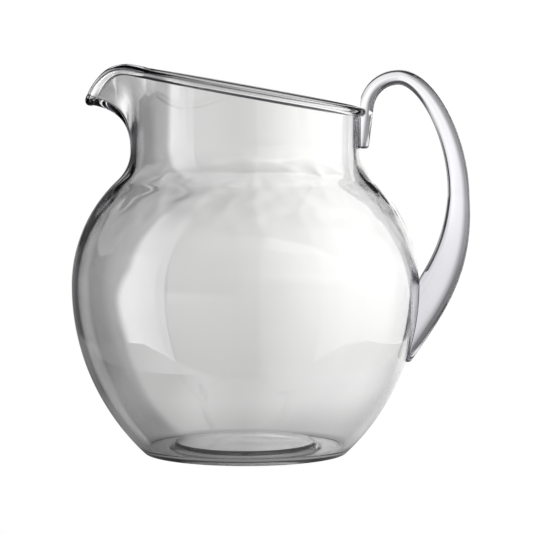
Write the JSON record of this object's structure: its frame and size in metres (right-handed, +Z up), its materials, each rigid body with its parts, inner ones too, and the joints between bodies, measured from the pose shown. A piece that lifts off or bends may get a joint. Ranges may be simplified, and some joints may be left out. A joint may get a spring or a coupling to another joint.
{
  "type": "globe pitcher",
  "caption": "Clear acrylic globe-shaped pitcher with a slanted beaded rim, a pulled pouring beak and a solid moulded loop handle cemented to the neck and the globe",
  "frame": {"origin": "on the globe's axis, at the level of the table that the foot ring rests on", "axes": "+Z is up along the globe's axis, +X points to the handle, -X to the pouring beak, and Y is across"},
  "size_m": [0.2131, 0.186, 0.2083],
  "materials": {
    "clear_acrylic": "polished clear",
    "clear_cement": "clear cured cement"
  },
  "bodies": {
    "root": {"body": "clear_acrylic", "handle": "clear_acrylic", "neck_cement": "clear_cement", "globe_cement": "clear_cement"}
  },
  "joints": []
}
